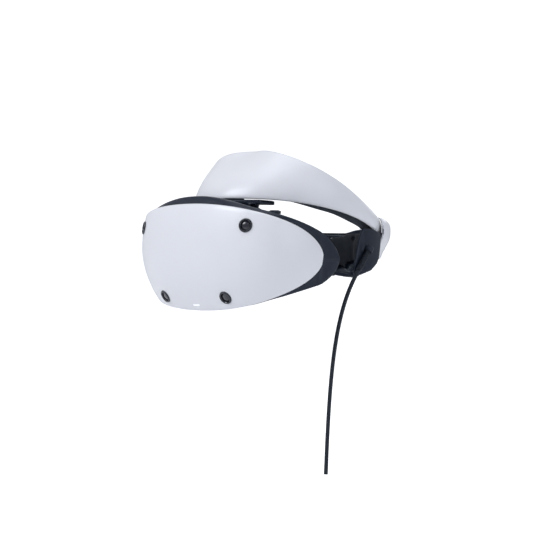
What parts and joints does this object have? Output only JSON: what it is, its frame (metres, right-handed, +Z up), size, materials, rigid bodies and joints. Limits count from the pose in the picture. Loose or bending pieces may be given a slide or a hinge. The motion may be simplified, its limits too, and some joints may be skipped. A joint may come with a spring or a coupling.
{
  "type": "vr headset",
  "caption": "Head-worn virtual reality display: a curved front unit slides on a rigid headband, and a rear unit with a size dial slides in and out.",
  "frame": {"origin": "centre of the head opening, on the midplane, level with the lens axes", "axes": "+Z up, the front faces -Y, +X to the wearer's left"},
  "size_m": [0.211, 0.2566, 0.302],
  "materials": {
    "white_shell": "smooth satin plastic",
    "black_shell": "fine matt texture",
    "black_part": "moulded matt plastic",
    "black_gloss": "polished",
    "lens_glass": "polished dark lens",
    "clear_lens": "clear with fine rings",
    "display": "polished glass over dark panel",
    "light_guide": "frosted translucent",
    "board_green": "solder mask",
    "metal_part": "brushed",
    "spring_metal": "drawn wire",
    "brass_part": "machined",
    "pale_plastic": "moulded acetal",
    "grey_plastic": "satin",
    "black_rubber": "soft matt rubber"
  },
  "bodies": {
    "head_band": {"front_band_shell": "white_shell", "band_liner": "black_rubber", "forehead_pad": "black_rubber", "forehead_bridge": "black_shell", "slide_rails": "metal_part", "side_straps": "black_rubber", "band_screws": "metal_part"},
    "scope": {"front_cover": "white_shell", "front_frame": "black_shell", "rear_case": "black_shell", "camera_bezels": "black_gloss", "camera_lenses": "lens_glass", "camera_modules": "black_part", "status_light": "light_guide", "main_board": "board_green", "heat_sink": "metal_part", "fan_housing": "black_part", "guide_rods": "metal_part", "gear_bridge": "black_part", "vibration_motor": "metal_part", "button_springs": "spring_metal", "scope_release_spring": "spring_metal", "light_shield": "black_rubber", "nose_flaps": "black_rubber", "proximity_window": "black_gloss", "case_screws": "metal_part"},
    "left_eye": {"left_lens_barrel": "black_part", "left_lens": "clear_lens", "left_display": "display", "left_tracking_ring": "black_gloss", "left_rack": "pale_plastic"},
    "right_eye": {"right_lens_barrel": "black_part", "right_lens": "clear_lens", "right_display": "display", "right_tracking_ring": "black_gloss", "right_rack": "pale_plastic"},
    "centre_gear": {"centre_pinion": "pale_plastic"},
    "ipd_drive": {"ipd_dial": "black_part", "ipd_dial_pinion": "pale_plastic"},
    "fan_wheel": {"fan_rotor": "black_part"},
    "rumble_weight": {"vibration_weight": "brass_part"},
    "power_key": {"power_button": "black_part"},
    "function_key": {"function_button": "black_part"},
    "scope_release": {"scope_release_button": "black_part", "scope_latch": "metal_part"},
    "rear_unit": {"rear_shell": "white_shell", "rear_housing": "black_shell", "rear_pad": "black_rubber", "size_release_spring": "spring_metal", "headphone_jack": "black_gloss", "strain_relief": "black_rubber", "cable": "black_rubber", "rear_screws": "metal_part"},
    "size_dial": {"adjust_dial": "white_shell", "dial_pinion": "pale_plastic"},
    "left_strip": {"left_toothed_strip": "black_part"},
    "right_strip": {"right_toothed_strip": "black_part"},
    "size_release": {"size_release_button": "grey_plastic"}
  },
  "joints": [
    {"name": "scope_slide", "type": "slide", "parent": "head_band", "child": "scope", "axis": [0, -1, 0], "range_m": [0, 0.03]},
    {"name": "left_eye_slide", "type": "slide", "parent": "scope", "child": "left_eye", "axis": [1, 0, 0], "range_m": [-0.0025, 0.004]},
    {"name": "right_eye_slide", "type": "slide", "parent": "scope", "child": "right_eye", "axis": [-1, 0, 0], "range_m": [-0.0026, 0.0041]},
    {"name": "centre_gear_spin", "type": "hinge", "parent": "scope", "child": "centre_gear", "pos_m": [0, -0.103, 0.03], "axis": [0, 0, 1], "range_deg": [-58.5, 37]},
    {"name": "ipd_dial_spin", "type": "hinge", "parent": "scope", "child": "ipd_drive", "pos_m": [0.082, -0.103, 0.03], "axis": [0, 0, 1], "range_deg": [-58.5, 37]},
    {"name": "fan_spin", "type": "hinge", "parent": "scope", "child": "fan_wheel", "pos_m": [0, -0.13, 0.012], "axis": [0, 1, 0], "continuous": true},
    {"name": "rumble_spin", "type": "hinge", "parent": "scope", "child": "rumble_weight", "pos_m": [0, -0.114, 0.044], "axis": [1, 0, 0], "continuous": true},
    {"name": "power_press", "type": "slide", "parent": "scope", "child": "power_key", "axis": [0, -0.6157, 0.788], "range_m": [0, 0.0006], "stiffness_N_per_m": 600, "springref_m": -0.0005},
    {"name": "function_press", "type": "slide", "parent": "scope", "child": "function_key", "axis": [0, -0.6157, 0.788], "range_m": [0, 0.0006], "stiffness_N_per_m": 600, "springref_m": -0.0005},
    {"name": "scope_release_press", "type": "slide", "parent": "scope", "child": "scope_release", "axis": [0, 0, -1], "range_m": [0, 0.0012], "stiffness_N_per_m": 400, "springref_m": -0.001, "deforming": ["scope_release_spring"]},
    {"name": "rear_slide", "type": "slide", "parent": "head_band", "child": "rear_unit", "axis": [0, 1, 0], "range_m": [0, 0.04]},
    {"name": "size_dial_spin", "type": "hinge", "parent": "rear_unit", "child": "size_dial", "pos_m": [0, 0.0985, 0.0265], "axis": [0, 1, 0], "range_deg": [-2, 640]},
    {"name": "left_strip_turn", "type": "hinge", "parent": "rear_unit", "child": "left_strip", "pos_m": [0, 0.022, 0.0265], "axis": [0, 0, 1], "range_deg": [-34, 1]},
    {"name": "right_strip_turn", "type": "hinge", "parent": "rear_unit", "child": "right_strip", "pos_m": [0, 0.022, 0.0265], "axis": [0, 0, 1], "range_deg": [-1, 34]},
    {"name": "size_release_press", "type": "slide", "parent": "rear_unit", "child": "size_release", "axis": [0, -1, 0], "range_m": [0, 0.0018], "stiffness_N_per_m": 500, "springref_m": -0.001}
  ],
  "couplings": [
    {"joint": "right_eye_slide", "follows": "left_eye_slide", "ratio": 1},
    {"joint": "centre_gear_spin", "follows": "left_eye_slide", "rad_per_m": -250},
    {"joint": "ipd_dial_spin", "follows": "left_eye_slide", "rad_per_m": -250},
    {"joint": "size_dial_spin", "follows": "rear_slide", "rad_per_m": 277.78},
    {"joint": "left_strip_turn", "follows": "rear_slide", "rad_per_m": -14.62},
    {"joint": "right_strip_turn", "follows": "rear_slide", "rad_per_m": 14.62}
  ]
}
